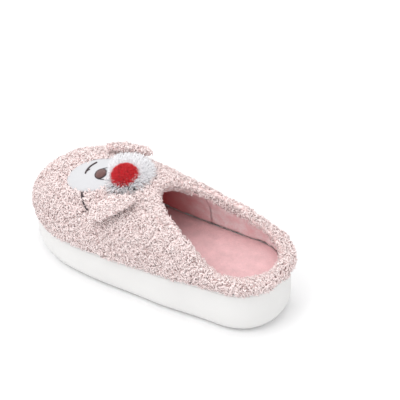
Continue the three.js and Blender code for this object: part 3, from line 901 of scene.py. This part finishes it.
class SLIPPER_OT_upper(bpy.types.Operator):
    """Backing cloth, lining and curly pile of the vamp and heel collar."""
    bl_idname = "slipper.upper"
    bl_label = "Upper"

    def execute(self, context):
        pile = context.scene.slipper_pile
        body = context.scene.slipper_body
        shell, side = upper_shell()
        co = points_of(shell.data)
        seam_y = BOXES["vamp_plush"][0].y
        in_vamp = co[:, 1] > seam_y - SEAM_LAP
        in_collar = co[:, 1] < seam_y + SEAM_LAP
        under_rim = np.array([rim_height(x, y) - z for x, y, z in co])
        facing_depth = np.interp(co[:, 1], [-0.12, -0.05, -0.01], [5 * MM, 7 * MM, 21 * MM])
        inside = side < 0.6
        facing = inside & (under_rim < facing_depth)
        lining = inside & (under_rim > facing_depth - 1.5 * MM)
        backing = (~inside) | facing

        rose = cloth_material("rose_lining", [mix(c, 1, 0.7) for c in body.lining_colour], body.lining_colour,
                              900.0, 1.2 * MM)
        # painted shade: the lining turns deep red towards the toe, where the cavity lies in shade
        paint_toe_cavity_shade(rose, TOE_CAVITY_SHADE, -40 * MM, 20 * MM)
        # painted shade: the backing cloth takes the darker root colour, for the shade down between the curls
        pink = pile_material("pink_backing", pile.shaded_root_colour, pile.shaded_root_colour, 0.2)
        for slot, material, thickness, share, cuts in (
            ("rose_lining", rose, LINING_THICKNESS, lining, (
                ("vamp_lining_cloth", in_vamp, ["vamp_lining", "vamp_padding"]),
                ("collar_lining_cloth", in_collar, ["heel_collar_lining", "heel_collar_padding"]))),
            ("pink_plush", pink, BACKING_THICKNESS, backing, (
                ("vamp_backing", in_vamp, ["throat_facing"]), ("collar_backing", in_collar, []))),
        ):
            for name, keep, replaced in cuts:
                cloth = thickened(cut_out(shell, share & keep, name), thickness)
                use_material(cloth, material)
                finish_piece(cloth, "slipper", replaced)

        bare = np.array([
            (in_oval(a, d, BARE_PATCH_CENTRE, BARE_PATCH_HALF) and d < BARE_PATCH_END)
            or in_oval(a, d, MUZZLE_CENTRE, BARE_MUZZLE_HALF)
            for a, d in (face_place(p) for p in co)
        ]) & (co[:, 2] > 60 * MM)
        lowest = np.array([p[2] < sole_top(p[1]) + 3.4 * MM for p in co])
        amount = np.where(backing & ~bare & ~lowest, 1.0, 0.0)
        high = np.where(facing, 0.6, 1.0) * np.interp(side, [-1, 3], [0.7, 1.0])
        region = np.where(co[:, 1] < seam_y, np.where(co[:, 0] < 0, 1, 2),
                          np.where(co[:, 0] < 0.008, 3, 6) + np.where(co[:, 1] > 0.070, 2,
                                                                      np.where(co[:, 1] > 0.018, 1, 0)))
        down = np.zeros((len(co), 3))
        down[:, 2] = -0.22
        high = high * np.interp(distance_to(EAR_NODES, co), [1 * MM, 7 * MM], [0.35, 1.0])
        prepare(shell, amount, region, high, down)
        tufts = curls("pink_curl", pile.tuft_length, pile.tuft_width, 1.9 * MM, 1.1,
                      steps=4, tip_power=0.5)
        # painted shade: the curls are painted darker and pinker at their roots, for the shade down between
        # them
        curl = pile_material("pink_pile", pile.tip_colour, pile.shaded_root_colour, 0.45)
        for name, number, replaced in (
            ("collar_pile_lateral", 1, ["heel_collar_plush"]), ("collar_pile_medial", 2, []),
            ("vamp_pile_lateral_back", 3, ["vamp_plush"]), ("vamp_pile_lateral_front", 4, []),
            ("vamp_pile_toe_lateral", 5, []), ("vamp_pile_medial_back", 6, []),
            ("vamp_pile_medial_front", 7, []), ("vamp_pile_toe_medial", 8, []),
        ):
            strands = plant(name, shell, tufts, curl, region=number, Density=pile.tuft_spread * 1e6,
                            **{"Lean": 2.8, "Swirl Size": 85.0})
            finish_piece(strands, "slipper", replaced)
        bpy.data.objects.remove(shell)
        return {"FINISHED"}


# ---- Face -------------------------------------------------------------------------------------------

def crown(edge, dome, power=2):
    """A pad's height in millimetres: edge at its rim, and dome more at its middle."""
    return lambda share: (edge + dome * math.sqrt(max(0.0, 1 - share ** power))) * MM


def oval_pad(name, centre, half, base, rise, count=72, steps=16):
    """A closed oval pad lying on the face, level below and raised by rise above."""
    def ring(scale, out):
        return [on_face(centre[0] + scale * half[0] * math.cos(a),
                        centre[1] - scale * half[1] * math.sin(a), out)
                for a in (math.tau * i / count for i in range(count))]

    rings = [ring(k / 5, base) for k in range(1, 6)]
    for k in range(1, steps + 1):
        scale = math.cos(0.5 * math.pi * k / (steps + 0.6))
        rings.append(ring(scale, base + rise(scale)))
    return loft(name, rings)


class SLIPPER_OT_face(bpy.types.Operator):
    """Smooth face patch with its closed eyes, nose and mouth lines."""
    bl_idname = "slipper.face"
    bl_label = "Face"

    def execute(self, context):
        face = context.scene.slipper_face
        patch = oval_pad("face_patch_cloth", PATCH_CENTRE, PATCH_HALF, PAD_UNDERSIDE, crown(3.4, 1.6, 4))
        use_material(patch, cloth_material("white_velour", face.patch_colour,
                                           darker(face.patch_colour, 0.97), 1400.0, 0.1 * MM, 0.65, 0.15))
        finish_piece(patch, "slipper", ["face_patch"])

        thread = thread_material("dark_thread", face.thread_colour, darker(face.thread_colour, 0.5))
        spot = face_place(sum(BOXES["nose"], Vector()) / 2)
        for name, side in (("eye_medial", 1), ("eye_lateral", -1)):
            place = lambda t: (side * (15 + 7 * t) * MM, (4 * t - 2 * (1 - t * t)) * MM)
            level = STITCH_HEIGHT if side > 0 else STITCH_HEIGHT - 0.7 * MM
            arc = [on_face(*place(k / 12 - 1), level) for k in range(25)]
            lid = tube(name + "_arc", arc, rounded_ends(face.thread_radius))
            foot = place(-0.55)
            lash = [on_face(foot[0] + side * 1.5 * MM * k / 6, foot[1] + 3 * MM * k / 6, level)
                    for k in range(7)]
            hair = tube(name + "_lash", lash, lambda t: face.thread_radius * (1 - 0.5 * t))
            for piece, replaced in ((lid, [name]), (hair, [])):
                use_material(piece, thread)
                finish_piece(piece, "slipper", replaced)
        for name, side in (("mouth_line_medial", 1), ("mouth_line_lateral", -1)):
            line = [on_face(spot[0] + side * mix(5.2, 7.4, k / 8) * MM,
                            spot[1] + mix(-2.5, 4.5, k / 8) * MM, STITCH_HEIGHT) for k in range(9)]
            stitch = tube(name + "_thread", line, rounded_ends(0.4 * MM))
            use_material(stitch, thread)
            finish_piece(stitch, "slipper", [name])
        nose = oval_pad("nose_satin", spot, (5.2 * MM, 5.0 * MM), 1.0 * MM, crown(0.8, 2.4),
                        count=40, steps=8)
        layer = nose.data.uv_layers.new(name="thread")
        for loop in nose.data.loops:
            across, down = face_place(nose.data.vertices[loop.vertex_index].co)
            layer.data[loop.index].uv = (across / MM / 0.8, down / MM / 8)
        satin = thread_material("brown_satin", face.nose_colour, darker(face.nose_colour, 0.6), laid=True)
        use_material(nose, satin)
        finish_piece(nose, "slipper", ["nose"])
        ring = [on_face(spot[0] + 5.3 * MM * math.cos(a), spot[1] - 5.1 * MM * math.sin(a), 2.2 * MM)
                for a in (math.tau * k / 40 for k in range(41))]
        edge = tube("nose_outline", ring, lambda t: 0.55 * MM)
        use_material(edge, thread)
        finish_piece(edge, "slipper")
        return {"FINISHED"}


class SLIPPER_OT_muzzle(bpy.types.Operator):
    """Muzzle pad with its long white pile."""
    bl_idname = "slipper.muzzle"
    bl_label = "Muzzle"

    def execute(self, context):
        pile = context.scene.slipper_pile
        pad = oval_pad("muzzle_pad", MUZZLE_CENTRE, MUZZLE_HALF, PAD_UNDERSIDE, crown(4.0, 3.5))
        co = points_of(pad.data)
        middle = on_face(*MUZZLE_PARTING, 0)
        comb = co - np.array(middle)
        comb /= np.linalg.norm(comb, axis=1)[:, None] + 1e-9
        comb *= 1.1
        keep = np.array([face_place(p)[1] > 21 * MM for p in co], float)
        near_ears = np.interp(distance_to(EAR_NODES, co), [2 * MM, 11 * MM], [0.35, 1.0])
        prepare(pad, keep, None, near_ears, comb)
        # painted shade: the white strands are painted slightly darker at their roots, for the shade between
        # them
        white = pile_material("white_pile", pile.white_colour, darker(pile.white_colour, 0.92), 0.1,
                              root_end=0.3)
        tufts = curls("white_strand", pile.white_length, 1.3 * MM, 1.0 * MM, 0.35)
        strands = plant("muzzle_pile", pad, tufts, white, Density=1.5e6, **{"Lean": 0.9, "Swirl Size": 60.0})
        use_material(pad, white)
        finish_piece(pad, "slipper", ["muzzle_fluff"])
        finish_piece(strands, "slipper")
        return {"FINISHED"}


class SLIPPER_OT_cherry(bpy.types.Operator):
    """Cherry with its short red pile, and its stem."""
    bl_idname = "slipper.cherry"
    bl_label = "Cherry and stem"

    def execute(self, context):
        pile = context.scene.slipper_pile
        face = context.scene.slipper_face
        low, high = BOXES["cherry"]
        centre = face_place((low + high) / 2)
        reach = 10.5 * MM
        ball = oval_pad("cherry_pad", centre, (reach, reach), 1.5 * MM,
                        crown(3.2, 8.2), count=48, steps=14)
        prepare(ball)
        # painted shade: the red strands are painted much darker at their roots, for the shade between them
        red = pile_material("red_pile", face.cherry_colour, darker(face.cherry_colour, 0.45), 0.5)
        strands = plant("cherry_pile", ball, curls("red_curl", pile.cherry_length, 1.1 * MM, 0.6 * MM),
                        red, Density=3.0e6, **{"Lean": 1.2, "Swirl Size": 150.0})
        use_material(ball, red)
        finish_piece(ball, "slipper", ["cherry"])
        finish_piece(strands, "slipper")

        hinge = next(j for j in frame["joints"] if j["name"] == "stem_lift")
        start = Vector(hinge["pos_m"])
        stem_low, stem_high = BOXES["cherry_stem"]
        end = Vector((stem_high.x - 1 * MM, stem_low.y, stem_low.z + 1.2 * MM))
        points = []
        for k in range(25):
            t = k / 24
            p = start.lerp(end, t)
            p.z += 0.9 * MM * math.sin(t * math.pi)
            points.append(p)
        stem = tube("cherry_stem_cord", points, lambda t: (1.05 + 0.35 * smoothstep((t - 0.85) / 0.15)) * MM
                    * math.sqrt(max(0.05, 1 - clamp((t - 0.94) / 0.06) ** 2)))
        use_material(stem, thread_material("stem_cord", face.stem_colour, darker(face.stem_colour, 0.5)))
        finish_piece(stem, "stem", ["cherry_stem"])
        return {"FINISHED"}


class SLIPPER_OT_ears(bpy.types.Operator):
    """Two stuffed ears with curly pile on both sides."""
    bl_idname = "slipper.ears"
    bl_label = "Ears"

    def execute(self, context):
        pile = context.scene.slipper_pile
        # painted shade: the ear's backing takes the darker root colour, for the shade down between the curls
        backing = pile_material("ear_backing", pile.shaded_root_colour, pile.shaded_root_colour, 0.2)
        # painted shade: the ear's curls are painted darker and pinker at their roots, for the shade down
        # between them
        curl = pile_material("ear_pile", pile.tip_colour, pile.shaded_root_colour, 0.45)
        tufts = curls("ear_curl", pile.tuft_length * 0.9, pile.tuft_width, 1.8 * MM, 1.1,
                      steps=4, tip_power=0.5)
        for side in ("lateral", "medial"):
            nodes = [f"ear_{side}_{layer}" for layer in ("back", "filling", "front")]
            pad = remeshed(merged_copy(f"ear_{side}_pad", nodes), 1.5 * MM, 10)
            co, no = points_of(pad.data), normals_of(pad.data)
            set_points(pad.data, co - no * 1.9 * MM)
            up = np.clip(no[:, 2] * 1.2 + 0.2 - no[:, 0] * (0.5 if side == "lateral" else -0.5), 0, 1)
            prepare(pad, np.ones(len(co)), None, mix(0.45, 1.0, up))
            strands = plant(f"ear_{side}_pile", pad, tufts, curl, Density=0.85e6,
                            **{"Lean": 2.4, "Swirl Size": 85.0})
            use_material(pad, backing)
            body = f"ear_{side}"
            finish_piece(pad, body, nodes)
            finish_piece(strands, body)
        return {"FINISHED"}


# ---- Panel and registration ---------------------------------------------------------------------------

class SLIPPER_PT_panel(bpy.types.Panel):
    bl_label = "Plush Slipper"
    bl_idname = "SLIPPER_PT_panel"
    bl_space_type = "VIEW_3D"
    bl_region_type = "UI"
    bl_category = "Slipper"

    def draw(self, context):
        for title, group in (("Pile", "slipper_pile"), ("Body", "slipper_body"), ("Face", "slipper_face")):
            box = self.layout.box()
            box.label(text=title)
            settings = getattr(context.scene, group)
            for name in settings.bl_rna.properties.keys():
                if name not in ("rna_type", "name"):
                    box.prop(settings, name)
        for operator in OPERATORS:
            self.layout.operator(operator.bl_idname)


SETTINGS = {
    "slipper_pile": SlipperPileSettings,
    "slipper_body": SlipperBodySettings,
    "slipper_face": SlipperFaceSettings,
}
OPERATORS = (
    SLIPPER_OT_stage, SLIPPER_OT_sole, SLIPPER_OT_footbed, SLIPPER_OT_upper,
    SLIPPER_OT_face, SLIPPER_OT_muzzle, SLIPPER_OT_cherry, SLIPPER_OT_ears,
)


def register():
    for group in SETTINGS.values():
        bpy.utils.register_class(group)
    for name, group in SETTINGS.items():
        setattr(bpy.types.Scene, name, PointerProperty(type=group))
    for operator in OPERATORS:
        bpy.utils.register_class(operator)
    bpy.utils.register_class(SLIPPER_PT_panel)


def unregister():
    bpy.utils.unregister_class(SLIPPER_PT_panel)
    for operator in reversed(OPERATORS):
        bpy.utils.unregister_class(operator)
    for name in SETTINGS:
        delattr(bpy.types.Scene, name)
    for group in SETTINGS.values():
        bpy.utils.unregister_class(group)


def clear_tools():
    """Drops the tuft shapes once their pile is planted."""
    for group in tuft_groups:
        for obj in list(group.objects):
            bpy.data.objects.remove(obj)
        bpy.data.collections.remove(group)
    tuft_groups.clear()


def main():
    register()
    for operator in OPERATORS:
        area, name = operator.bl_idname.split(".")
        getattr(getattr(bpy.ops, area), name)()
    clear_tools()


if __name__ == "__main__":
    main()
